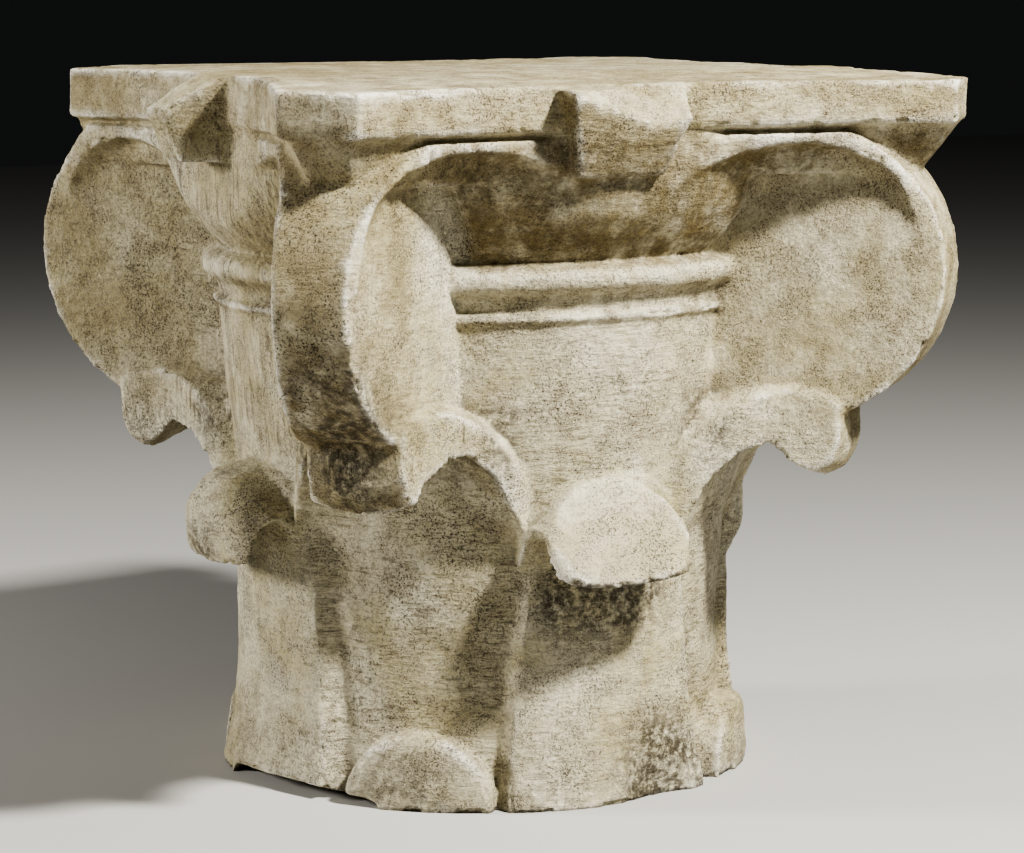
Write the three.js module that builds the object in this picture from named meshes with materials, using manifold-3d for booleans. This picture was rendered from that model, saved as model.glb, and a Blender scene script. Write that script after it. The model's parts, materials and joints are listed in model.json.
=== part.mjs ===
import * as THREE from "three";
import { mergeVertices } from "three/addons/utils/BufferGeometryUtils.js";
import Module from "manifold-3d";

// Worn marble capital with plain blocked-out leaves, carved from one block.
// Millimetres, +Z up, origin at the centre of the lower bed. The best kept face looks along -Y.
// Each carved form is shaped facing +X: reach is the distance from the axis, side is along +Y.

// Azimuths of the four faces and the four corners, in degrees from +X
const rightFace = 0;
const backFace = 90;
const leftFace = 180;
const mainFace = 270;
const rearRight = 45;
const rearLeft = 135;
const frontLeft = 225;
const frontRight = 315;

// Abacus: a square slab with hollow sides and cut-off horns, its bed dressed down along the front
const height = 476;
const frontHeight = 470;
const bedEdge = -100;
const abacusHalf = 247;
const hollowHalfLength = 214;
const sideHollow = 32;
const leftSideHollow = 46;
const horns = {
  [rearRight]: { reach: 322, foot: 298 },
  [rearLeft]: { reach: 291, foot: 280 },
  [frontLeft]: { reach: 320, foot: 296 },
  [frontRight]: { reach: 331, foot: 303 },
};
const fasciaBase = 443;
const grooveTop = 441;
const grooveBase = 436;
const grooveDepth = 10;
const abacusBase = 410;
const abacusFootInset = 24;

// Bell, bead and echinus
const bellBase = 168;
const panelRadius = 162;
const bellWaist = 172;
const waistLevel = 215;
const bellTop = 182;
const filletLevel = 320;
const filletHeight = 4;
const filletRadius = 186;
const beadLevel = 346.5;
const beadRadius = 10;
const beadCentre = 184.5;
const neckRadius = 180;
const echinusRadius = 219;
const echinusTop = 428;

// Volutes: upright plates on the diagonals, in round hollows under a border that follows the abacus
const volute = { reach: 225, level: 346, radius: 101, offset: 0 };
const frontLeftVolute = { ...volute, offset: -4 };
const rearLeftVolute = { reach: 213, level: 349, radius: 109, offset: 0 };
const plateEdgeHalf = 24;
const plateRootHalf = 43;
const hollowReach = 246;
const hollowLevel = 346;
const hollowFloorRadius = 62;
const hollowMouthRadius = 80;
const hollowFlareRadius = 104;
const borderTop = 437;
const borderInset = 4.5;
const borderBase = 409;
const borderMiddle = 149;
const borderEnd = 3;

// Face leaves: flat tongues with a curled tip
const leafRadius = 173.5;
const leafFoot = 185.5;
const leafFootHeight = 70;
const leafHalfAngleFoot = 24.5;
const leafHalfAngleHead = 19;
const leafBevelAngle = 4;
const leafTurn = 2;
const leafSpring = 168;
const leafCrown = 219;
const tipInner = 160;
const tipRoot = 182;
const tipReach = 215;
const mainTipReach = 228;
const wornTipReach = 190;
const tipHalfWidth = 54;
const tipBottom = 151;
const tipHollow = 186;
const tipBend = 200;
const mainTipTurn = -1.5;

// Corner leaves: recessed panels with a hood that reaches out under each volute
const hoodCrown = 275;
const hoodSpring = 178;
const hoodHalfWidth = 84;
const hoodTipHalf = 35;
const narrowTipHalf = 30;
const hoodReach = 262;
const hoodBottom = 206;
const tipRound = 5;
const hoodSkirt = 150;
const hoodSheet = 32;
const thinSheet = 22;

// Half-round bosses at the feet of the corner leaves
const footHalfWidth = 51;
const footHeight = 49;
const footReach = 184;
const footBevel = 9;
const footTurn = 3;

// Bosses in the middle of the abacus sides
const bossTopHalf = 47;
const bossBottomHalf = 31;
const bossTopReach = 246;
const bossBottomReach = 220;
const bossBase = 413;
const mainBossOffset = -14;
const keelReach = 242;
const keelHalf = 12;
const keelSlope = 0.6;

// How finely round forms are divided
const roundSegments = 44;
const plateSegments = 28;
const sideSteps = 6;
const leafSteps = 8;

const wasm = await Module();
wasm.setup();

// Solid that can be joined and cut, from a closed geometry
function solidFrom(geometry) {
  const bare = geometry.clone();
  bare.deleteAttribute("normal");
  bare.deleteAttribute("uv");
  const merged = mergeVertices(bare, 1e-3);
  const corners = merged.attributes.position;
  const triangles = [];
  let volume = 0;
  const a = new THREE.Vector3();
  const b = new THREE.Vector3();
  const c = new THREE.Vector3();
  for (let i = 0; i < merged.index.count; i += 3) {
    const [p, q, r] = [0, 1, 2].map((k) => merged.index.getX(i + k));
    if (p === q || q === r || r === p) {
      continue;
    }
    triangles.push(p, q, r);
    a.fromBufferAttribute(corners, p);
    b.fromBufferAttribute(corners, q);
    c.fromBufferAttribute(corners, r);
    volume += a.dot(b.cross(c));
  }
  if (volume < 0) {
    triangles.reverse();
  }
  const mesh = new wasm.Mesh({
    numProp: 3,
    vertProperties: new Float32Array(corners.array),
    triVerts: new Uint32Array(triangles),
  });
  return new wasm.Manifold(mesh);
}

// Indexed geometry of a finished solid
function geometryFrom(solid) {
  const mesh = solid.getMesh();
  const geometry = new THREE.BufferGeometry();
  geometry.setAttribute("position", new THREE.BufferAttribute(mesh.vertProperties, 3));
  geometry.setIndex(new THREE.BufferAttribute(mesh.triVerts, 1));
  geometry.computeVertexNormals();
  return geometry;
}

function join(solids) {
  return solids.reduce((whole, next) => whole.add(next));
}

function turned(geometry, azimuth) {
  return geometry.clone().rotateZ(THREE.MathUtils.degToRad(azimuth));
}

function points2(pairs) {
  return pairs.map(([x, y]) => new THREE.Vector2(x, y));
}

function spline(pairs, divisions) {
  return new THREE.SplineCurve(points2(pairs)).getPoints(divisions);
}

function arc(x, y, radius, from, to, divisions) {
  const start = THREE.MathUtils.degToRad(from);
  const end = THREE.MathUtils.degToRad(to);
  return new THREE.EllipseCurve(x, y, radius, radius, start, end, to < from).getPoints(divisions);
}

function lathe(profile) {
  return new THREE.LatheGeometry(profile, roundSegments).rotateX(Math.PI / 2);
}

// Outline in plan, drawn upward
function upright(outline, from, to) {
  const options = { depth: to - from, bevelEnabled: false };
  return new THREE.ExtrudeGeometry(new THREE.Shape(outline), options).translate(0, 0, from);
}

// Outline in reach and level, drawn sideways to both sides
function sideways(outline, halfWidth) {
  const options = { depth: 2 * halfWidth, bevelEnabled: false };
  const block = new THREE.ExtrudeGeometry(new THREE.Shape(outline), options);
  return block.translate(0, 0, -halfWidth).rotateX(Math.PI / 2);
}

// Closed skin over a stack of rings with equal counts, flat ends included.
// Flattened to a plane, each ring runs anticlockwise.
function stacked(rings, flatten) {
  const count = rings[0].length;
  const corners = rings.flat().flatMap((p) => [p.x, p.y, p.z]);
  const index = [];
  for (let k = 0; k + 1 < rings.length; k += 1) {
    for (let i = 0; i < count; i += 1) {
      const here = k * count + i;
      const next = k * count + (i + 1) % count;
      index.push(here, next, next + count, here, next + count, here + count);
    }
  }
  for (const [k, reverse] of [[0, true], [rings.length - 1, false]]) {
    for (const face of THREE.ShapeUtils.triangulateShape(rings[k].map(flatten), [])) {
      const [p, q, r] = face.map((i) => i + k * count);
      index.push(p, reverse ? r : q, reverse ? q : r);
    }
  }
  const geometry = new THREE.BufferGeometry();
  geometry.setAttribute("position", new THREE.Float32BufferAttribute(corners, 3));
  geometry.setIndex(index);
  return geometry;
}

// Block whose near face lies at a point and which fills the space along the normal
function beyond(point, normal, size) {
  const upward = new THREE.Vector3(0, 0, 1);
  const turn = new THREE.Quaternion().setFromUnitVectors(upward, normal.clone().normalize());
  const block = new THREE.BoxGeometry(size, size, size).translate(0, 0, size / 2);
  return block.applyQuaternion(turn).translate(point.x, point.y, point.z);
}

// Plan of the abacus: each side is a shallow hollow curve that ends on the cut horns
function abacusPlan(sideInset, hornShare, hornInset) {
  const corners = [rearRight, rearLeft, frontLeft, frontRight];
  const reaches = corners.map((corner) => {
    return THREE.MathUtils.lerp(horns[corner].reach, horns[corner].foot, hornShare) - hornInset;
  });
  const outline = [];
  [rightFace, backFace, leftFace, mainFace].forEach((azimuth, face) => {
    const hollow = azimuth === leftFace ? leftSideHollow : sideHollow;
    const curve = hollow / hollowHalfLength ** 2;
    const middle = abacusHalf - hollow - sideInset;
    const hornEnd = (reach) => {
      const root = Math.sqrt(1 - 4 * curve * (middle - Math.SQRT2 * reach));
      return (root - 1) / (2 * curve);
    };
    const from = -hornEnd(reaches[(face + 3) % 4]);
    const to = hornEnd(reaches[face]);
    for (let step = 0; step <= sideSteps; step += 1) {
      const side = THREE.MathUtils.lerp(from, to, step / sideSteps);
      const point = new THREE.Vector2(middle + curve * side ** 2, side);
      outline.push(point.rotateAround(new THREE.Vector2(), THREE.MathUtils.degToRad(azimuth)));
    }
  });
  return outline;
}

// Abacus: a sloped foot, a groove and an upright fascia, with its bed worn down at the front
function abacus() {
  const levels = [
    { level: abacusBase, side: abacusFootInset, horn: 1 },
    { level: grooveBase, side: grooveDepth + 1, horn: 0.25 },
    { level: grooveTop, side: grooveDepth, horn: 0.12 },
    { level: fasciaBase, side: 1, horn: 0.04 },
    { level: fasciaBase + 2, side: 0, horn: 0 },
    { level: height, side: 0, horn: 0 },
  ];
  const rings = levels.map(({ level, side, horn }) => {
    return abacusPlan(side, horn, 0).map((p) => new THREE.Vector3(p.x, p.y, level));
  });
  const slab = solidFrom(stacked(rings, (p) => new THREE.Vector2(p.x, p.y)));
  return slab.subtract(bedWear());
}

// Stone lost from the front of the upper bed
function bedWear() {
  const fall = height - frontHeight;
  const length = abacusHalf + bedEdge;
  const edge = new THREE.Vector3(0, bedEdge, height);
  return solidFrom(beyond(edge, new THREE.Vector3(0, -fall, length), 4 * abacusHalf));
}

// Upright block inside the abacus border, which trims what grows out from the bell
function borderBlock() {
  return solidFrom(upright(abacusPlan(borderInset, 0, -10), -1, height - 15));
}

// Bell with its fillet and bead
function bell() {
  const profile = [
    ...points2([[0, 0]]),
    ...spline([[bellBase, 0], [panelRadius, 60], [panelRadius, 125], [bellWaist, waistLevel],
      [177, 252], [bellTop, filletLevel - 2]], 6),
    ...points2([[filletRadius, filletLevel], [filletRadius, filletLevel + filletHeight]]),
    ...points2([[bellTop - 1, filletLevel + filletHeight + 1]]),
    ...arc(beadCentre, beadLevel, beadRadius, -90, 90, 5),
    ...points2([[0, beadLevel + beadRadius]]),
  ];
  return solidFrom(lathe(profile));
}

// Echinus: the flare from the neck to the abacus
function echinus() {
  const profile = [
    ...points2([[0, beadLevel]]),
    ...points2([[neckRadius, beadLevel]]),
    ...spline([[neckRadius, beadLevel + beadRadius], [190, 367], [205.5, 389], [216, 417],
      [echinusRadius, echinusTop]], 6),
    ...points2([[echinusRadius, echinusTop + 14], [0, echinusTop + 14]]),
  ];
  return solidFrom(lathe(profile));
}

function voluteAt(azimuth) {
  const own = { [frontLeft]: frontLeftVolute, [rearLeft]: rearLeftVolute };
  return own[azimuth] ?? volute;
}

// Half thickness of a volute plate, which grows toward the bell
function plateHalfAt(reach) {
  const edge = volute.reach + volute.radius;
  return THREE.MathUtils.mapLinear(reach, edge, neckRadius, plateEdgeHalf, plateRootHalf);
}

// Volute plate: a disc on the diagonal
function volutePlate(azimuth) {
  const { reach, level, radius, offset } = voluteAt(azimuth);
  const disc = new THREE.CylinderGeometry(radius, radius, 2, plateSegments).translate(reach, 0, level);
  const spots = disc.attributes.position;
  for (let i = 0; i < spots.count; i += 1) {
    spots.setY(i, offset + spots.getY(i) * plateHalfAt(spots.getX(i)));
  }
  return solidFrom(turned(disc, azimuth));
}

// Border over a volute: from the middle of one side round the horn to the middle of the next
function voluteBorder(azimuth) {
  const { reach, level, radius } = voluteAt(azimuth);
  const rim = radius - 1;
  const topAngle = THREE.MathUtils.radToDeg(Math.asin((borderTop - level) / rim));
  const outline = [
    ...arc(reach, level, rim, borderEnd, topAngle, 6),
    ...points2([[borderMiddle - 3, borderTop], [borderMiddle - 3, borderBase]]),
    ...points2([[hollowReach, borderBase - 30], [hollowReach + 48, hollowLevel + 30]]),
    ...points2([[hollowReach + 62, hollowLevel + 4]]),
  ];
  return solidFrom(turned(sideways(outline, abacusHalf), azimuth));
}

// Turned hollows on both sides of a volute plate, as radii at depths in front of the plate
function voluteHollows(azimuth, profile) {
  const { offset } = voluteAt(azimuth);
  const sides = [1, -1].map((sign) => {
    const turnedHollow = new THREE.LatheGeometry(points2(profile), plateSegments);
    const hollow = turnedHollow.translate(hollowReach, 0, hollowLevel);
    const spots = hollow.attributes.position;
    for (let i = 0; i < spots.count; i += 1) {
      spots.setY(i, offset + sign * (spots.getY(i) + plateHalfAt(spots.getX(i))));
    }
    return solidFrom(turned(hollow, azimuth));
  });
  return join(sides);
}

// Echinus and border, hollowed out round the volutes
function upperBell(corners) {
  const lip = [[0, -8], [hollowFloorRadius, -8], [hollowFloorRadius, -2], [hollowMouthRadius, 9]];
  const dish = [...lip.slice(0, 3), [hollowMouthRadius - 5, 6], [hollowMouthRadius - 8, 12], [0, 20]];
  const cone = [[hollowMouthRadius + 4, 28], [hollowMouthRadius + 12, 70], [hollowFlareRadius, 110]];
  const flare = [...lip, ...cone, [0, 111]];
  const dishes = join(corners.map((azimuth) => voluteHollows(azimuth, dish)));
  const flares = join(corners.map((azimuth) => voluteHollows(azimuth, flare)));
  const borders = join(corners.map(voluteBorder)).subtract(flares);
  return echinus().subtract(dishes).add(borders).intersect(borderBlock());
}

// Folded leaf between an upper and a lower profile, drawn across its width and bent round the bell
function foldedLeaf({ top, under, halfWidthAt, topFall, underFall, bend }) {
  const shares = [];
  for (let step = 0; step <= leafSteps; step += 1) {
    shares.push(Math.sin(Math.PI * (step / leafSteps - 0.5)));
  }
  const spot = (point, share, fallAt) => {
    const side = share * halfWidthAt(point.x);
    return new THREE.Vector3(point.x - side ** 2 / (2 * bend), side, point.y - fallAt(point.x, side));
  };
  const rings = top.map((point, k) => {
    const upper = shares.map((share) => spot(point, share, topFall));
    const lower = shares.map((share) => spot(under[k], -share, underFall));
    return [...upper, ...lower];
  });
  return stacked(rings, (p) => new THREE.Vector2(-p.y, p.z));
}

// Share of a crown's rise that is lost at a distance from its middle
function crownFall(side, halfWidth, fullness) {
  const out = Math.min(1, Math.abs(side) / halfWidth);
  return 1 - (1 - out ** fullness) ** (1 / fullness);
}

// Underside of a curled tip: hollow next to the bell, then down to a rounded lip
function curledUnder(reach) {
  const at = (share) => THREE.MathUtils.lerp(tipRoot, reach, share);
  return [[tipInner, 140], [173, 160], [at(0.0), 178], [at(0.26), tipHollow], [at(0.5), 176],
    [at(0.66), tipBottom + 4], [at(0.82), tipBottom], [at(1), 174]];
}

// Tip of a face leaf: round-headed over the given underside
function leafTip(reach, under) {
  const at = (share) => THREE.MathUtils.lerp(tipRoot, reach, share);
  const rise = leafCrown - leafSpring;
  const top = [[tipInner, leafCrown], [tipRoot, leafCrown - 1], [at(0.55), 212], [at(0.87), 200],
    [at(1), 187]];
  return foldedLeaf({
    top: spline(top, 8),
    under: spline(under, 8),
    halfWidthAt: (spot) => {
      const out = Math.max(0, spot - tipRoot) / (reach + 2 - tipRoot);
      return tipHalfWidth * Math.sqrt(1 - out ** 4);
    },
    topFall: (spot, side) => rise * crownFall(side, tipHalfWidth + 2, 2),
    underFall: (spot, side) => -(side ** 2) / 600,
    bend: tipBend,
  });
}

// Body of a face leaf: a tongue on the bell with bevelled edges, a flared foot and a round head
function leafBody(azimuth) {
  const levels = [0, 10, 28, leafFootHeight, 120, leafSpring, 190, 207, leafCrown - 2];
  const facets = 6;
  const rings = levels.map((level) => {
    const flare = Math.max(0, 1 - level / leafFootHeight) ** 2 * (leafFoot - leafRadius);
    const rise = Math.max(0, level - leafSpring) / (leafCrown - leafSpring);
    const up = Math.min(1, level / leafSpring);
    const taper = THREE.MathUtils.lerp(leafHalfAngleFoot, leafHalfAngleHead, up);
    const halfAngle = taper * Math.sqrt(1 - rise ** 2);
    const face = leafRadius + flare + 4 * rise;
    const edge = halfAngle + leafBevelAngle;
    const ring = [[-edge, 120], [-edge, panelRadius - 3]];
    for (let step = 0; step <= facets; step += 1) {
      ring.push([THREE.MathUtils.lerp(-halfAngle, halfAngle, step / facets), face]);
    }
    ring.push([edge, panelRadius - 3], [edge, 120]);
    return ring.map(([angle, radius]) => {
      const turn = THREE.MathUtils.degToRad(angle);
      return new THREE.Vector3(radius * Math.cos(turn), radius * Math.sin(turn), level);
    });
  });
  return solidFrom(turned(stacked(rings, (p) => new THREE.Vector2(p.x, p.y)), azimuth + leafTurn));
}

// Hood of a corner leaf: arched over the panel, reaching out to a blunt tip
function cornerHood(azimuth) {
  const slender = azimuth === frontLeft;
  const sheet = slender ? thinSheet : hoodSheet;
  const tipHalf = slender ? narrowTipHalf : hoodTipHalf;
  const fall = (side) => (hoodCrown - hoodSpring) * crownFall(side, hoodHalfWidth, 2.5);
  const top = [[150, 268], [178, 271], [204, hoodCrown], [228, hoodCrown], [246, 270], [257, 266],
    [hoodReach, 260]];
  const drop = slender
    ? [[218, 247], [229, 236], [239, 222], [248, hoodBottom]]
    : [[220, hoodCrown - 1 - sheet], [230, 260 - sheet], [237, 217], [245, hoodBottom]];
  const under = [[152, hoodSkirt - 4], [171, 218 - sheet], [181, 250 - sheet], [192, 270 - sheet],
    [206, hoodCrown - sheet], ...drop, [256, 212], [hoodReach, 226]];
  const hood = foldedLeaf({
    top: spline(top, 10),
    under: spline(under, 10),
    halfWidthAt: (reach) => {
      const out = Math.max(0, reach - bellWaist) / 42;
      return tipHalf + (hoodHalfWidth - 1 - tipHalf) * Math.exp(-(out ** 1.53));
    },
    topFall: (reach, side) => fall(side),
    underFall: (reach, side) => {
      const held = THREE.MathUtils.smoothstep(reach, 152, 190);
      const blunt = THREE.MathUtils.smoothstep(reach, 232, 244);
      return fall(side) * held * (1 - blunt) - blunt * tipRound * (side / tipHalf) ** 2;
    },
    bend: bellWaist,
  });
  return solidFrom(turned(hood, azimuth));
}

// Half-round boss at the foot of a corner leaf, with a sloped shoulder
function leafFootBoss(azimuth) {
  const halfRound = new THREE.Shape();
  halfRound.moveTo(-footHalfWidth, -20);
  halfRound.lineTo(footHalfWidth, -20);
  halfRound.absellipse(0, 0, footHalfWidth, footHeight, 0, Math.PI, false);
  const depth = 60;
  const options = {
    depth,
    curveSegments: 7,
    bevelThickness: footBevel,
    bevelSize: footBevel,
    bevelOffset: -footBevel,
    bevelSegments: 1,
  };
  const block = new THREE.ExtrudeGeometry(halfRound, options).rotateX(Math.PI / 2).rotateZ(Math.PI / 2);
  block.translate(footReach - depth - footBevel, 0, 0);
  const round = lathe(points2([[0, 0], [footReach, 0], [footReach - 4, footHeight], [0, footHeight]]));
  return solidFrom(turned(block, azimuth + footTurn)).intersect(solidFrom(round));
}

// Boss on an abacus side: a block that narrows and draws back downward
function sideBoss(azimuth, offset) {
  const inner = 190;
  const block = new THREE.BoxGeometry(2, 2, 2);
  const spots = block.attributes.position;
  for (let i = 0; i < spots.count; i += 1) {
    const top = spots.getZ(i) > 0;
    const front = top ? bossTopReach : bossBottomReach;
    const half = top ? bossTopHalf : bossBottomHalf;
    const reach = spots.getX(i) > 0 ? front : inner;
    spots.setXYZ(i, reach, offset + spots.getY(i) * half, top ? frontHeight - 1 : bossBase);
  }
  return turned(block, azimuth);
}

// Main boss: its upper front is broken off in a shallow notch
function brokenBoss() {
  const low = new THREE.Vector3(7, -237, 441);
  const leftBreak = beyond(low, new THREE.Vector3(0.32, -0.68, 0.66), 160);
  const rightBreak = beyond(low, new THREE.Vector3(-0.3, -0.65, 0.7), 160);
  const notch = solidFrom(leftBreak).intersect(solidFrom(rightBreak));
  return solidFrom(sideBoss(mainFace, mainBossOffset)).subtract(notch);
}

// Left boss: worn to a keel, with its top sloping down outward
function wornBoss() {
  const inner = 190;
  const block = new THREE.BoxGeometry(2, 2, 2);
  const spots = block.attributes.position;
  for (let i = 0; i < spots.count; i += 1) {
    const top = spots.getZ(i) > 0;
    const front = top ? keelReach + 6 : keelReach - 16;
    const reach = spots.getX(i) > 0 ? front : inner;
    const side = spots.getY(i) > 0 ? keelHalf + keelSlope * (front - reach) : -keelHalf - 6;
    spots.setXYZ(i, reach, side, top ? height - 2 : bossBase + 6);
  }
  const slope = beyond(new THREE.Vector3(-keelReach, 0, 451), new THREE.Vector3(-0.55, 0, 0.84), 300);
  return solidFrom(turned(block, leftFace)).subtract(solidFrom(slope));
}

// Main leaf tip: the curl is broken off along a steep plane
function brokenTip() {
  const lost = beyond(new THREE.Vector3(0, -200, 189), new THREE.Vector3(-0.04, -0.85, 0.53), 160);
  const tip = leafTip(mainTipReach, curledUnder(mainTipReach));
  return solidFrom(turned(tip, mainFace + mainTipTurn)).subtract(solidFrom(lost));
}

// Right leaf tip: its curl is worn to a stump
function wornTip() {
  const under = [[tipInner, 118], [171, 126], [180, 138], [186, 150], [wornTipReach, 160]];
  return solidFrom(turned(leafTip(wornTipReach, under), rightFace));
}

// Chips along the lower edge: a long one at the front left and a hollow at the front right
function footChips() {
  const chord = THREE.MathUtils.degToRad(195);
  const spot = new THREE.Vector3(150 * Math.cos(chord), 150 * Math.sin(chord), 0);
  const chip = beyond(spot, new THREE.Vector3(Math.cos(chord) * 0.29, Math.sin(chord) * 0.29, -0.96), 140);
  const hollow = new THREE.SphereGeometry(40, 10, 8).scale(1, 0.42, 0.6);
  hollow.translate(0, -192, 10).rotateZ(THREE.MathUtils.degToRad(12));
  return solidFrom(chip).add(solidFrom(hollow));
}

function capital() {
  const corners = [rearRight, rearLeft, frontLeft, frontRight];
  const faces = [rightFace, backFace, leftFace, mainFace];
  const tip = leafTip(tipReach, curledUnder(tipReach));
  const tips = [backFace, leftFace].map((azimuth) => solidFrom(turned(tip, azimuth)));
  const bosses = [rightFace, backFace].map((azimuth) => solidFrom(sideBoss(azimuth, 0)));
  const whole = join([
    bell(),
    upperBell(corners),
    abacus(),
    ...corners.map(volutePlate),
    ...corners.map(cornerHood),
    ...corners.map(leafFootBoss),
    ...faces.map(leafBody),
    ...tips,
    wornTip(),
    brokenTip(),
    ...bosses,
    wornBoss(),
    brokenBoss(),
  ]);
  return whole.subtract(footChips());
}

const marble = new THREE.MeshStandardMaterial({ color: 0xd6c9ae, roughness: 0.75, metalness: 0 });
const mesh = new THREE.Mesh(geometryFrom(capital()), marble);
mesh.name = "capital";

const group = new THREE.Group();
group.add(mesh);

export default group;
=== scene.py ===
import json
import math

import bpy
import numpy as np
from mathutils import Matrix, Vector

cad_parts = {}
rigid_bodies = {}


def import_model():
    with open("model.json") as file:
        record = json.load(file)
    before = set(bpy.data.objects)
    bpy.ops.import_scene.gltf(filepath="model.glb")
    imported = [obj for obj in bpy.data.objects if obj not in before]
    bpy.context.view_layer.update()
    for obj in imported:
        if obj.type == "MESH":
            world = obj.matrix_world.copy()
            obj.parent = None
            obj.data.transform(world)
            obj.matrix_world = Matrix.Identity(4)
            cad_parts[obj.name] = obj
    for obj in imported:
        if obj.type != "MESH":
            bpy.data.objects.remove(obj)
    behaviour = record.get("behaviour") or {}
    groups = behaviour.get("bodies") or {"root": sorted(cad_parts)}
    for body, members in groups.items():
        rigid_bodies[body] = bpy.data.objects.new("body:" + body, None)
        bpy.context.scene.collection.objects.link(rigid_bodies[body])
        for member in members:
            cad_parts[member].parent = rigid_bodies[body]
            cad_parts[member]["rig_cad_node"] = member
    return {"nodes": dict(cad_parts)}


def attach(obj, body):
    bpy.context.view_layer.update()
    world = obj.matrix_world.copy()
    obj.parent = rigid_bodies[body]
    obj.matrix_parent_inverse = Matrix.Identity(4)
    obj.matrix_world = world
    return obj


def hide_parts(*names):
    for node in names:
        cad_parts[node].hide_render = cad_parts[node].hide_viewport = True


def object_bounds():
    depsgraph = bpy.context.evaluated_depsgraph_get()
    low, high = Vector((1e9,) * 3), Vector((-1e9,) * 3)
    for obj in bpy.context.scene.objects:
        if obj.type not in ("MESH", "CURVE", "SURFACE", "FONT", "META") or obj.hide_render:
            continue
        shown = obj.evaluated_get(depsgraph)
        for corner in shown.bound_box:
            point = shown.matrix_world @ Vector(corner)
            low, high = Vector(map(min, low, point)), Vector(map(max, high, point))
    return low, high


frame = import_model()
cadLow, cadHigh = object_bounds()
bpy.ops.object.select_all(action="DESELECT")
print("frame loaded, box", tuple(round(v, 4) for v in cadHigh - cadLow))

block = {
    "voxel": 0.0018,  # grid of the worked stone, before thinning
    "triangles": 196000,
    "facetPasses": 26,  # evens out the solid's flat facets
    "edgeKeep": 0.0003,  # relief above this counts as an edge and stays
    "bedSkin": 0.0016,
}
carving = {
    "corners": {"rearRight": 45, "rearLeft": 135, "frontLeft": 225, "frontRight": 315},
    "voluteReach": 0.225,
    "voluteLevel": 0.346,
    "voluteRadius": 0.101,
    "abacusFoot": 0.436,
    "upperBed": 0.468,
    "echinusFoot": 0.353,
    "echinusReach": 0.178,
    "panelHalf": 0.075,  # half width of a corner leaf
    "panelReach": 0.172,
    "leafReach": 0.171,  # leaves stand out past this
    "leafLevels": (0.06, 0.23),
    "brokenLevels": (0.15, 0.225),  # break of the front leaf
    "brokenHalf": 0.07,
}
wear = {
    "swell": (0.055, 0.0011),  # lump size and depth
    "dressing": (0.016, 0.00055),
    "pecking": (0.0075, 0.00034),
    "edgePasses": 26,
    "edgeStand": (0.0004, 0.0016),  # how far an arris stands out of the softened form
    "chips": [(0.034, 0.20, 1.0), (0.015, 0.24, 0.8), (0.007, 0.30, 0.5)],  # size, share of the edge, depth
    "topChip": 0.3,
    "footChip": 1.5,
    "nibble": (0.010, 0.0026),  # size and depth of the ragged arris
    "peck": (0.0042, 0.00020),
}


def smoothRandom(spots, size, seed):  # random field from -1 to 1 with lumps of one size
    shift = np.array([seed * 3.17, seed * 7.93, seed * 5.71])
    place = spots / size + shift
    cell = np.floor(place).astype(np.int64)
    inside = place - cell
    ease = inside * inside * (3 - 2 * inside)
    total = np.zeros(len(spots))
    for corner in np.ndindex(2, 2, 2):
        key = (cell + corner) @ np.array([374761393, 668265263, 2147483647]) + seed * 97531
        key = (key ^ (key >> 13)) * 1274126177 & 0xFFFFFFFF
        key = (key ^ (key >> 16)) * 2246822519 & 0xFFFFFFFF
        value = ((key ^ (key >> 15)) & 0xFFFF) / 32767.5 - 1
        share = np.prod(np.where(np.array(corner) == 1, ease, 1 - ease), axis=1)
        total += value * share
    return total


def layered(spots, size, seed, layers=3):  # several sizes of lumps on top of each other
    total = np.zeros(len(spots))
    for layer in range(layers):
        total += smoothRandom(spots, size / 2**layer, seed + layer) / 2**layer
    return total / 1.6


def ramp(values, low, high):
    share = np.clip((values - low) / (high - low), 0, 1)
    return share * share * (3 - 2 * share)


class Surface:  # the piece's vertices as arrays, for moves that depend on place
    def __init__(self, piece):
        self.mesh = piece.data
        count = len(self.mesh.vertices)
        self.spots = np.empty(count * 3)
        self.mesh.vertices.foreach_get("co", self.spots)
        self.spots = self.spots.reshape(-1, 3)
        ends = np.empty(len(self.mesh.edges) * 2, np.int32)
        self.mesh.edges.foreach_get("vertices", ends)
        self.ends = ends.reshape(-1, 2).T
        self.degree = np.bincount(self.ends.ravel(), minlength=count)

    def normals(self):
        self.write()
        found = np.empty(len(self.spots) * 3)
        self.mesh.vertex_normals.foreach_get("vector", found)
        return found.reshape(-1, 3)

    def write(self):
        self.mesh.vertices.foreach_set("co", self.spots.ravel())
        self.mesh.update()

    def mean(self, values):  # average over the neighbours
        a, b = self.ends
        count = len(self.spots)
        columns = values.reshape(count, -1).T
        summed = [np.bincount(a, v[b], count) + np.bincount(b, v[a], count) for v in columns]
        return (np.array(summed) / self.degree).T.reshape(values.shape)

    def relaxed(self, values, passes, share=0.5):
        for _ in range(passes):
            values = values + share * (self.mean(values) - values)
        return values

    def store(self, name, values):
        layer = self.mesh.attributes.new(name, "FLOAT", "POINT")
        layer.data.foreach_set("value", np.clip(values, 0, 1).astype(np.float32))


def applyModifier(piece, kind, **settings):
    bpy.context.view_layer.objects.active = piece
    modifier = piece.modifiers.new(kind.title(), kind)
    for name, value in settings.items():
        setattr(modifier, name, value)
    bpy.ops.object.modifier_apply(modifier=modifier.name)


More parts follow.
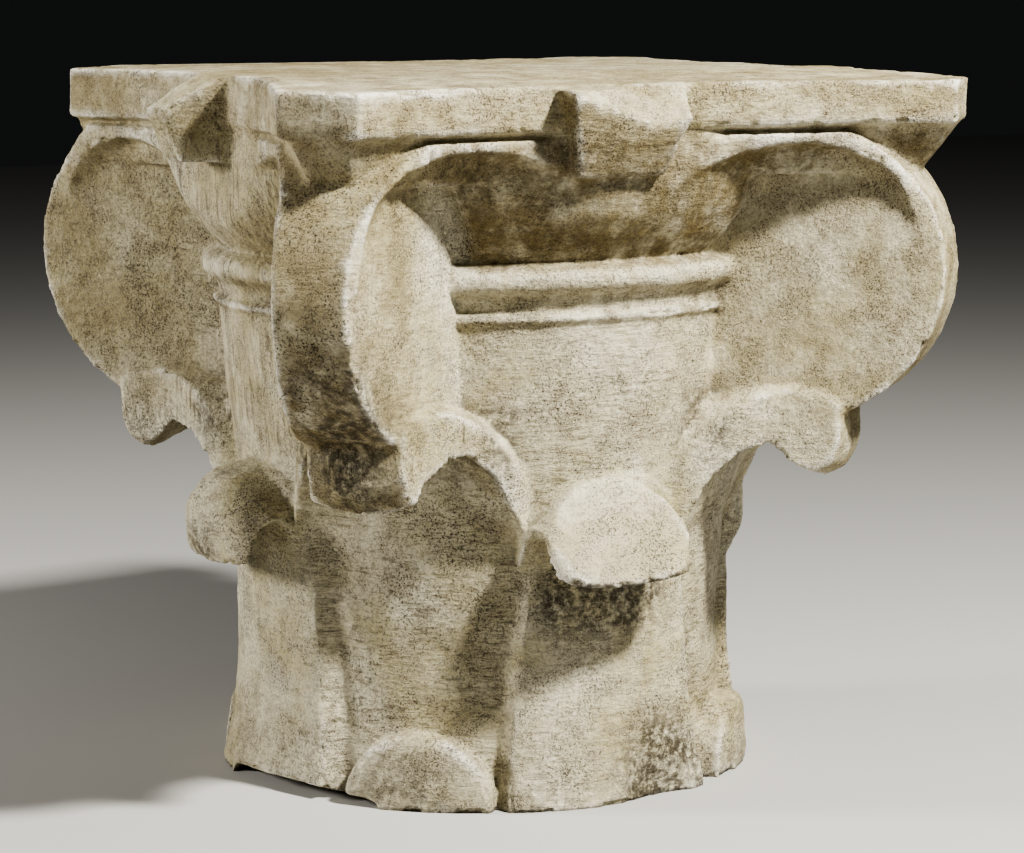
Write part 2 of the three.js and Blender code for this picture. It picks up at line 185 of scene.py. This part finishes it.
def roughBlock():  # copy of the solid on an even grid
    source = frame["nodes"]["capital"]
    source.select_set(True)
    bpy.context.view_layer.objects.active = source
    bpy.ops.object.duplicate()
    piece = bpy.context.active_object
    bpy.ops.object.parent_clear(type="CLEAR_KEEP_TRANSFORM")
    piece.name = "marbleCapital"
    piece.data.name = "marbleCapital"
    del piece["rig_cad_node"]
    bpy.ops.object.mode_set(mode="EDIT")
    bpy.ops.mesh.select_all(action="SELECT")
    bpy.ops.mesh.remove_doubles(threshold=1e-5)
    bpy.ops.object.mode_set(mode="OBJECT")
    applyModifier(piece, "REMESH", mode="VOXEL", voxel_size=block["voxel"])
    print("block on its grid:", len(piece.data.vertices), "points")
    return piece


def evenFacets(surface):  # facets of round forms go, arrises stay
    normals = surface.normals()
    soft = surface.relaxed(surface.spots, 10)
    relief = np.abs(np.sum((surface.spots - soft) * normals, axis=1))
    relief = surface.relaxed(relief, 4)
    give = 1 / (1 + (relief / block["edgeKeep"]) ** 4)
    for _ in range(block["facetPasses"]):
        surface.spots += 0.5 * give[:, None] * (surface.mean(surface.spots) - surface.spots)


def weather(surface):  # chipped arrises and hand-dressed unevenness
    normals = surface.normals()
    soft = surface.relaxed(surface.spots, wear["edgePasses"])
    stand = np.sum((surface.spots - soft) * normals, axis=1)
    edge = ramp(stand, *wear["edgeStand"])
    chip = np.zeros(len(stand))
    for seed, (size, share, bite) in enumerate(wear["chips"]):
        field = layered(surface.spots, size, 11 + 3 * seed)
        limit = 0.9 - 1.8 * share
        chip = np.maximum(chip, bite * ramp(field, limit - 0.1, limit + 0.14))
    field = layered(surface.spots, 0.022, 23)
    level = surface.spots[:, 2]
    chip += wear["topChip"] * ramp(level, 0.455, 0.466) * ramp(field, -0.3, 0.3)
    chip += wear["footChip"] * (1 - ramp(level, 0.012, 0.05)) * ramp(field, -0.2, 0.4)
    chip = np.clip(chip * edge, 0, 1.7)
    surface.spots += chip[:, None] * (soft - surface.spots)
    depth = np.zeros(len(surface.spots))
    for seed, name in enumerate(("swell", "dressing", "pecking", "peck")):
        size, amount = wear[name]
        depth += amount * layered(surface.spots, size, 31 + 5 * seed, 2)
    size, amount = wear["nibble"]
    depth -= amount * edge * ramp(layered(surface.spots, size, 57), 0.15, 0.5)
    surface.spots += depth[:, None] * normals


def keepBeds(surface):  # lower bed stays level, and all stays in the solid's box
    under = surface.spots[:, 2] < block["bedSkin"]
    surface.spots[under, 2] = 0
    surface.spots = np.clip(surface.spots, np.array(cadLow) + 1e-5, np.array(cadHigh) - 1e-5)
    surface.write()


# weathering marks, plus painted shade under the hoods, the front leaf stub, the abacus and on down-facing
# surfaces
aging = {
    "edgePasses": 30,
    "edgeStand": (0.0005, 0.0016),
    "hollowDepth": (0.0004, 0.0022),
    "patinaAndShade": 0.30,
    "abacusPatina": 0.30,
    "topPatina": 0.3,
    # stain and dirt on the echinus, plus painted shade under the abacus overhang
    "echinusStainAndShade": 0.5,
    "echinusShadeAndDirt": 0.45,
    "echinusSide": (-0.17, -0.11),  # the stain and painted shade fade out to the left
    # painted shade: down-facing surfaces darker
    "undersideShade": 0.25,
    "bandPatina": 0.38,
    "tipPatina": 0.25,
    "discPatina": {  # on the left and the right face
        "rearRight": (0.3, 0.3),
        "rearLeft": (0.2, 0.3),
        "frontLeft": (-0.22, 0.3),
        "frontRight": (0.3, 0.16),
    },
    "paleReach": (0.228, 0.243),  # the front left disc is paler inside this
    "paleEdge": 0.45,
    "leafPatina": -0.2,
    "brokenPatina": 0.3,
    "tooling": 0.55,
    "panelTooling": 0.4,
    "discTooling": -0.35,
    "uprightTooling": 0.5,
    "brokenTooling": 0.2,
    "specks": 0.62,
    "bandSpecks": 0.4,
    "panelSpecks": 0.1,
    "hollowGrime": 0.5,
    # darker towards the bottom
    "footDarkening": 0.55,
    # painted shade, with some dirt, under the corner leaf hoods
    "hoodShadeAndDirt": 0.75,
    "grooveGrime": 0.5,
    # painted shadow under the broken front leaf stub, with a little dirt
    "stubShadeAndDirt": 1.6,
    "darkPatches": [  # darkened patches: centre, radius, amount
        ((0.045, -0.176, 0.020), 0.055, 1.1),
        ((-0.213, -0.213, 0.285), 0.050, 1.0),
        ((-0.190, -0.190, 0.256), 0.045, 1.1),
        ((-0.185, -0.185, 0.212), 0.036, 0.9),
        ((-0.205, 0.010, 0.150), 0.045, 0.8),
        ((-0.125, -0.125, 0.020), 0.040, 0.5),
    ],
}


def cornerFrame(surface, degrees):  # reach along a diagonal and distance to its left
    turn = math.radians(degrees)
    x, y = surface.spots[:, 0], surface.spots[:, 1]
    return x * math.cos(turn) + y * math.sin(turn), y * math.cos(turn) - x * math.sin(turn)


def between(values, low, high, edge):  # eased band, fading over the edge width at both ends
    return ramp(values, low, low + edge) * (1 - ramp(values, high - edge, high))


def placeDirtAndShade(surface, normals, hollow, lump, onEchinus):  # dirt in hollows and the bead groove, a darker foot and listed patches, and painted shade under the hoods, the front leaf stub and the abacus
    x, y, z = surface.spots.T
    reach = np.hypot(x, y)
    dirtAndShade = aging["hollowGrime"] * hollow * (0.6 + 0.6 * lump)
    # darker over the lowest few centimetres
    dirtAndShade += aging["footDarkening"] * (1 - ramp(z, 0.0, 0.035)) * ramp(lump, -0.4, 0.4)
    # darkened patches, each listed by centre and radius
    for centre, radius, amount in aging["darkPatches"]:
        away = np.linalg.norm(surface.spots - np.array(centre), axis=1)
        dirtAndShade += amount * (1 - ramp(away, 0.3 * radius, radius)) * ramp(lump, -0.7, 0.2)
    # painted shade, with some dirt, on each corner leaf panel just below its hood
    for degrees in carving["corners"].values():
        along, side = cornerFrame(surface, degrees)
        under = (along > 0.10) & (reach < 0.20) & (np.abs(side) < carving["panelHalf"])
        under &= normals[:, 2] < 0.35
        dirtAndShade += aging["hoodShadeAndDirt"] * under * ramp(z, 0.200, 0.240) * (1 - ramp(z, 0.262, 0.272))
    groove = (reach < 0.187) * between(z, 0.312, 0.340, 0.010)  # between bead and fillet
    dirtAndShade += aging["grooveGrime"] * groove * ramp(lump, -0.5, 0.3)
    # painted shade under the abacus, with dirt, on the echinus
    dirtAndShade += aging["echinusShadeAndDirt"] * onEchinus
    # painted shadow, with a little dirt, on the leaf just below the broken stub
    below = (1 - ramp(np.abs(x), 0.030, 0.056)) * (y < -0.13) * (normals[:, 2] < 0.25)
    dirtAndShade += aging["stubShadeAndDirt"] * below * ramp(z, 0.096, 0.140) * (1 - ramp(z, 0.156, 0.164))
    return dirtAndShade


def markSurface(surface):  # where the stone is stained, dirty, rubbed and tooled, and where painted shade darkens it
    normals = surface.normals()
    x, y, z = surface.spots.T
    reach = np.hypot(x, y)
    soft = surface.relaxed(surface.spots, aging["edgePasses"])
    stand = np.sum((surface.spots - soft) * normals, axis=1)
    edge = ramp(stand, *aging["edgeStand"])
    hollow = ramp(-stand, *aging["hollowDepth"])
    lump = layered(surface.spots, 0.05, 71)
    steep = np.abs(normals[:, 2]) < 0.6
    # patina plus painted shade on undersides and the echinus
    patinaAndShade = np.full(len(z), aging["patinaAndShade"])
    patinaAndShade += aging["abacusPatina"] * ((z > carving["abacusFoot"]) & steep)
    patinaAndShade += aging["topPatina"] * (z > carving["upperBed"])
    # painted shade: the more a surface faces down, the darker it is
    patinaAndShade += aging["undersideShade"] * ramp(-normals[:, 2], 0.2, 0.7)
    onEchinus = (z > carving["echinusFoot"]) & (z < carving["abacusFoot"])
    onEchinus &= reach > carving["echinusReach"]
    upTooling = ((z > carving["leafLevels"][1]) & (z < carving["abacusFoot"]) & (x < -0.1)) * 1.0
    tooling = aging["tooling"] + 0.3 * lump + aging["uprightTooling"] * upTooling
    specks = aging["specks"] + 0.5 * lump
    for name, degrees in carving["corners"].items():
        along, side = cornerFrame(surface, degrees)
        turn = math.radians(degrees)
        facing = -normals[:, 0] * math.sin(turn) + normals[:, 1] * math.cos(turn)
        edgeOn = np.abs(facing) < 0.5
        out = np.hypot(along - carving["voluteReach"], z - carving["voluteLevel"])
        plate = (along > 0.17) & (np.abs(side) < 0.05) & (out < carving["voluteRadius"] + 0.004)
        onEchinus &= ~plate
        band = plate & edgeOn & (out > 0.094)
        leftFace, rightFace = plate & (facing > 0.6), plate & (facing < -0.6)
        leftPatina, rightPatina = aging["discPatina"][name]
        patinaAndShade += leftPatina * leftFace + rightPatina * rightFace
        patinaAndShade += aging["bandPatina"] * band
        if name == "frontLeft":
            patinaAndShade += aging["paleEdge"] * leftFace * ramp(along + 0.012 * lump, *aging["paleReach"])
        patinaAndShade += aging["tipPatina"] * ((along > 0.245) & (z < 0.262) & edgeOn)
        upTooling = np.where(plate, 0.2, upTooling)
        panel = (np.abs(side) < carving["panelHalf"]) & (z < carving["leafLevels"][1]) & (along > 0.1)
        panel &= reach < carving["panelReach"]
        tooling += aging["discTooling"] * plate + aging["panelTooling"] * panel
        specks += aging["bandSpecks"] * band + aging["panelSpecks"] * panel
    onEchinus = onEchinus * ramp(x, *aging["echinusSide"])
    # stain plus painted shade under the abacus on the echinus
    patinaAndShade += aging["echinusStainAndShade"] * onEchinus
    leafLow, leafHigh = carving["leafLevels"]
    leaf = (reach > carving["leafReach"]) & (z < leafHigh) & (z > leafLow) & (normals[:, 2] > -0.3)
    patinaAndShade += aging["leafPatina"] * leaf
    brokenLow, brokenHigh = carving["brokenLevels"]
    broken = (z > brokenLow) & (z < brokenHigh) & (np.abs(x) < carving["brokenHalf"])
    broken &= (reach > 0.185) & (y < -0.18) & (normals[:, 2] > 0.3)
    patinaAndShade = np.where(broken, aging["brokenPatina"], patinaAndShade)
    tooling = np.where(broken, aging["brokenTooling"], tooling)
    dirtAndShade = placeDirtAndShade(surface, normals, hollow, lump, onEchinus)
    rubbed = edge * ramp(layered(surface.spots, 0.03, 81), -0.5, 0.3) + 0.15 * broken
    surface.store("patinaAndShade", surface.relaxed(patinaAndShade, 3))
    surface.store("dirtAndShade", surface.relaxed(dirtAndShade, 1))
    surface.store("rubbed", surface.relaxed(rubbed, 1))
    surface.store("specks", surface.relaxed(specks, 3))
    surface.store("tooling", surface.relaxed(tooling, 3))
    surface.store("upTooling", surface.relaxed(upTooling, 4))


piece = roughBlock()
surface = Surface(piece)
evenFacets(surface)
print("facets evened out")
weather(surface)
keepBeds(surface)
print("arrises worn and faces dressed")
markSurface(surface)
# the stored patina and dirt layers also hold painted shade
print("patina, dirt and tool marks placed")
faces = sum(len(p.vertices) - 2 for p in piece.data.polygons)
applyModifier(piece, "DECIMATE", ratio=min(1, block["triangles"] / faces), use_collapse_triangulate=True)
keepBeds(Surface(piece))
bpy.ops.object.shade_smooth()
print("thinned to", len(piece.data.polygons), "triangles")

finish = {
    "pale": (0.72, 0.68, 0.53, 1),
    "warm": (0.52, 0.46, 0.26, 1),
    "grey": (0.36, 0.34, 0.28, 1),
    "ochre": (0.25, 0.195, 0.088, 1),
    "umber": (0.085, 0.063, 0.036, 1),
    # dark colour of dirt, specks and painted shade
    "sootAndShade": (0.036, 0.027, 0.017, 1),
    "fresh": (0.78, 0.75, 0.66, 1),
    "cloudScale": 9,  # scales are lumps to the metre
    "mottleScale": 42,
    "toneScale": 420,
    "gritScale": 170,
    "pepperScale": 980,
    "speckScale": 640,
    "clusterScale": 24,
    "hewnScale": 210,
    "grainScale": 1100,
    "warmSpread": (0.36, 0.66),
    "greySpread": (0.45, 0.7),
    "toneSpread": (0.4, 0.66),
    "stainAndShadeSpread": (0.22, 0.62),
    "deepSpread": (0.5, 0.72),
    "lineSpread": (0.51, 0.69),
    "gritSpread": (0.34, 0.60),
    "dirtAndShadeSpread": (0.2, 0.5),
    "pepperSpread": (0.52, 0.63),
    "pepperPatch": (0.38, 0.62),
    "speckSpread": (0.57, 0.63),
    "clusterSpread": (0.42, 0.58),
    "greyShare": 0.55,
    "toneShare": 0.75,
    "deepShare": 0.5,
    "rubbedShare": 0.9,
    "lineShare": 0.6,
    "dirtAndShadeShare": 0.85,
    "pepperShare": 0.9,
    "speckShare": 0.88,
    "combAcross": 340,  # level chisel lines to the metre
    "combAlong": 78,
    "upAcross": 215,  # upright chisel lines to the metre
    "upAlong": 26,
    "combDepth": 0.0028,
    "hewnDepth": 0.0019,
    "pitDepth": 0.0016,
    "grainDepth": 0.0009,
    "roughness": 0.72,
    "specular": 0.3,
}


def addNode(tree, kind, settings=None, **inputs):
    node = tree.nodes.new("ShaderNode" + kind)
    for name, value in (settings or {}).items():
        setattr(node, name, value)
    for name, value in inputs.items():
        socket = node.inputs[name.replace("_", " ")]
        if isinstance(value, bpy.types.NodeSocket):
            tree.links.new(value, socket)
        else:
            socket.default_value = value
    return node.outputs[0]


def spread(tree, value, low, high):  # eased share of a value between two limits
    node = addNode(tree, "MapRange", {"interpolation_type": "SMOOTHSTEP"}, Value=value)
    node.node.inputs["From Min"].default_value = low
    node.node.inputs["From Max"].default_value = high
    return node


def multiply(tree, first, second):
    node = tree.nodes.new("ShaderNodeMath")
    node.operation = "MULTIPLY"
    for socket, value in zip(node.inputs, (first, second)):
        if isinstance(value, bpy.types.NodeSocket):
            tree.links.new(value, socket)
        else:
            socket.default_value = value
    return node.outputs[0]


def layer(tree, under, over, share, blend="MIX"):
    return addNode(tree, "MixRGB", {"blend_type": blend}, Fac=share, Color1=under, Color2=over)


def marbleFinish():
    stone = bpy.data.materials.new("wornMarble")
    stone.use_nodes = True
    tree = stone.node_tree
    shader = tree.nodes["Principled BSDF"]
    place = tree.nodes.new("ShaderNodeTexCoord").outputs["Object"]

    def noise(scale, detail=4, roughness=0.55, distortion=0.0, vector=place):
        return addNode(tree, "TexNoise", Vector=vector, Scale=scale, Detail=detail,
                       Roughness=roughness, Distortion=distortion)

    def stretched(scale):
        return addNode(tree, "Mapping", Vector=place, Scale=scale)

    def mark(name):
        return addNode(tree, "Attribute", {"attribute_name": name}).node.outputs["Fac"]

    cloud = noise(finish["cloudScale"], 9, 0.68, 0.4)
    mottle = noise(finish["mottleScale"], 10, 0.74, 0.3)
    along, across = finish["combAlong"], finish["combAcross"]
    level = noise(1, 4, 0.6, 0.3, stretched((along, along, across)))
    upward = noise(1, 4, 0.6, 0.3, stretched((finish["upAcross"], finish["upAcross"], finish["upAlong"])))
    comb = addNode(tree, "MixRGB", Fac=mark("upTooling"), Color1=level, Color2=upward)
    grain = noise(finish["grainScale"], 3, 0.6)
    color = layer(tree, finish["pale"], finish["warm"], spread(tree, cloud, *finish["warmSpread"]))
    ashen = multiply(tree, spread(tree, mottle, *finish["greySpread"]), finish["greyShare"])
    color = layer(tree, color, finish["grey"], ashen)
    tone = spread(tree, noise(finish["toneScale"], 5, 0.75), *finish["toneSpread"])
    color = layer(tree, color, finish["grey"], multiply(tree, tone, finish["toneShare"]))
    # stain plus painted shade on undersides and the echinus
    stainAndShade = multiply(tree, mark("patinaAndShade"), spread(tree, mottle, *finish["stainAndShadeSpread"]))
    color = layer(tree, color, finish["ochre"], stainAndShade)
    deep = multiply(tree, mark("patinaAndShade"), spread(tree, cloud, *finish["deepSpread"]))
    color = layer(tree, color, finish["umber"], multiply(tree, deep, finish["deepShare"]))
    color = layer(tree, color, finish["fresh"], multiply(tree, mark("rubbed"), finish["rubbedShare"]))
    lines = spread(tree, comb, *finish["lineSpread"])
    lines = multiply(tree, lines, multiply(tree, mark("tooling"), finish["lineShare"]))
    color = layer(tree, color, finish["umber"], lines)
    grit = spread(tree, noise(finish["gritScale"], 5, 0.7), *finish["gritSpread"])
    # dirt plus painted shade under the hoods, the front leaf stub and the abacus
    dirtAndShadeLayer = multiply(tree, mark("dirtAndShade"), spread(tree, mottle, *finish["dirtAndShadeSpread"]))
    dirtAndShadeLayer = multiply(tree, dirtAndShadeLayer, grit)
    color = layer(tree, color, finish["sootAndShade"], multiply(tree, dirtAndShadeLayer, finish["dirtAndShadeShare"]))
    pepper = spread(tree, noise(finish["pepperScale"], 2, 0.6), *finish["pepperSpread"])
    pepper = multiply(tree, pepper, spread(tree, mottle, *finish["pepperPatch"]))
    color = layer(tree, color, finish["umber"], multiply(tree, pepper, finish["pepperShare"]))
    fine = spread(tree, noise(finish["speckScale"], 3, 0.62, 0.15), *finish["speckSpread"])
    cluster = spread(tree, noise(finish["clusterScale"], 4, 0.65), *finish["clusterSpread"])
    specks = multiply(tree, multiply(tree, fine, cluster), mark("specks"))
    color = layer(tree, color, finish["sootAndShade"], multiply(tree, specks, finish["speckShare"]))
    tree.links.new(color, shader.inputs["Base Color"])
    shader.inputs["Roughness"].default_value = finish["roughness"]
    shader.inputs["Specular IOR Level"].default_value = finish["specular"]
    bump = addNode(tree, "Bump", Height=grain, Distance=finish["grainDepth"], Strength=0.6)
    hewn = noise(finish["hewnScale"], 6, 0.66)
    bump = addNode(tree, "Bump", Height=hewn, Distance=finish["hewnDepth"], Strength=0.75, Normal=bump)
    combed = multiply(tree, comb, mark("tooling"))
    bump = addNode(tree, "Bump", Height=combed, Distance=finish["combDepth"], Strength=0.8, Normal=bump)
    bump = addNode(tree, "Bump", {"invert": True}, Height=specks, Distance=finish["pitDepth"], Strength=0.8,
                   Normal=bump)
    tree.links.new(bump, shader.inputs["Normal"])
    return stone


piece.data.materials.clear()
piece.data.materials.append(marbleFinish())
print("marble finish on")
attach(piece, "root")
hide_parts("capital")

stage = {
    "floorSize": 14.0,
    "floorColor": (0.44, 0.435, 0.42, 1),
    "cameraSpot": (-1.0018, -1.9587, 0.5362),
    "cameraRight": (0.8859, -0.4639, -0.0048),
    "cameraUp": (0.0686, 0.1207, 0.9903),
    "lens": 112.3,
    "sensor": 36,
    "centre": (0, 0, 0.24),
    "lampDistance": 2.4,
    "keyLamp": {"from": (0.54, 0.66, -0.52), "size": 0.22, "power": 122, "color": (1, 0.975, 0.92)},
    "sideLamp": {"from": (-0.98, 0.25, -0.04), "size": 0.45, "power": 48, "color": (1, 0.97, 0.93)},
    "worldColor": (0.8, 0.82, 0.85, 1),
    "worldPower": 0.02,
    "contrast": "AgX - High Contrast",
}


def addFloor():
    bpy.ops.mesh.primitive_plane_add(size=stage["floorSize"], location=(0, 0, 0))
    floor = bpy.context.active_object
    floor.name = "studioFloor"
    paint = bpy.data.materials.new("paleFloor")
    paint.use_nodes = True
    shader = paint.node_tree.nodes["Principled BSDF"]
    shader.inputs["Base Color"].default_value = stage["floorColor"]
    shader.inputs["Roughness"].default_value = 0.85
    floor.data.materials.append(paint)


def cameraAxes():
    right = Vector(stage["cameraRight"]).normalized()
    up = Vector(stage["cameraUp"])
    back = right.cross(up).normalized()
    return right, back.cross(right).normalized(), back


def addCamera():
    bpy.ops.object.camera_add()
    camera = bpy.context.active_object
    right, up, back = cameraAxes()
    turned = Matrix((right, up, back)).transposed().to_4x4()
    camera.matrix_world = Matrix.Translation(stage["cameraSpot"]) @ turned
    camera.data.lens = stage["lens"]
    camera.data.sensor_width = stage["sensor"]
    camera.data.clip_end = 60
    bpy.context.scene.camera = camera


def addLamp(name, lampSet):
    right, up, back = cameraAxes()
    x, y, z = lampSet["from"]
    toward = (right * x + up * y - back * z).normalized()
    spot = Vector(stage["centre"]) + toward * stage["lampDistance"]
    bpy.ops.object.light_add(type="AREA", location=spot)
    lamp = bpy.context.active_object
    lamp.name = name
    lamp.rotation_euler = toward.to_track_quat("Z", "Y").to_euler()
    lamp.data.size = lampSet["size"]
    lamp.data.energy = lampSet["power"]
    lamp.data.color = lampSet["color"]


def addWorld():
    world = bpy.data.worlds.new("studio")
    world.use_nodes = True
    back = world.node_tree.nodes["Background"]
    back.inputs["Color"].default_value = stage["worldColor"]
    back.inputs["Strength"].default_value = stage["worldPower"]
    bpy.context.scene.world = world
    bpy.context.scene.view_settings.look = stage["contrast"]


addFloor()
addCamera()
addLamp("keyLamp", stage["keyLamp"])
addLamp("sideLamp", stage["sideLamp"])
addWorld()
print("floor, lamps and camera set")
